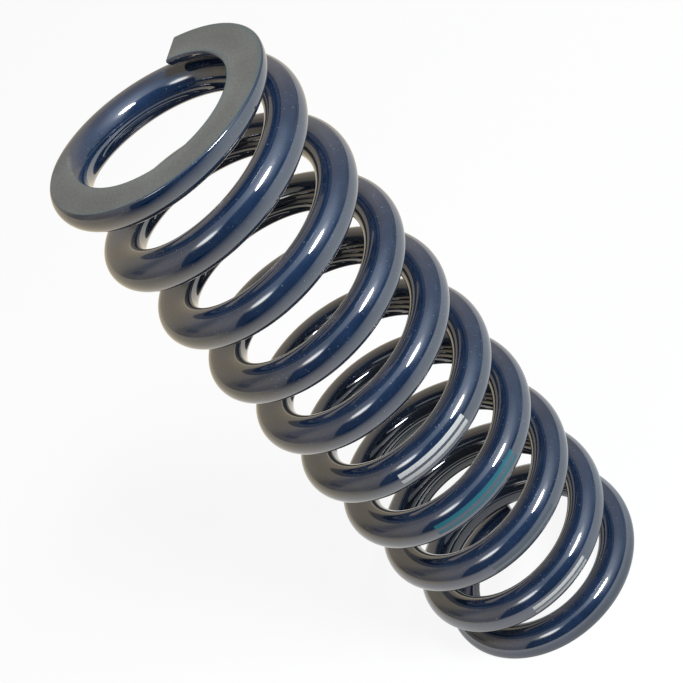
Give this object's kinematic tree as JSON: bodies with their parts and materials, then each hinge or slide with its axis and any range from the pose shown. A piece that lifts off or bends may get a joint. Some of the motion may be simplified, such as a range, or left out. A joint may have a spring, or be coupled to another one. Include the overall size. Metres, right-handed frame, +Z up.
{
  "type": "coilover spring",
  "caption": "Right-hand helical compression spring of round wire with closed, ground-flat ends, for the seats of an adjustable coil-over damper.",
  "frame": {"origin": "on the coil's axis, in the plane of the lower ground face", "axes": "+Z up the coil's axis to the upper ground face, +X through the upper tip of the wire"},
  "size_m": [0.0988, 0.0988, 0.3],
  "materials": {
    "spring_coating": "gloss"
  },
  "bodies": {
    "root": {"spring": "spring_coating"}
  },
  "joints": []
}
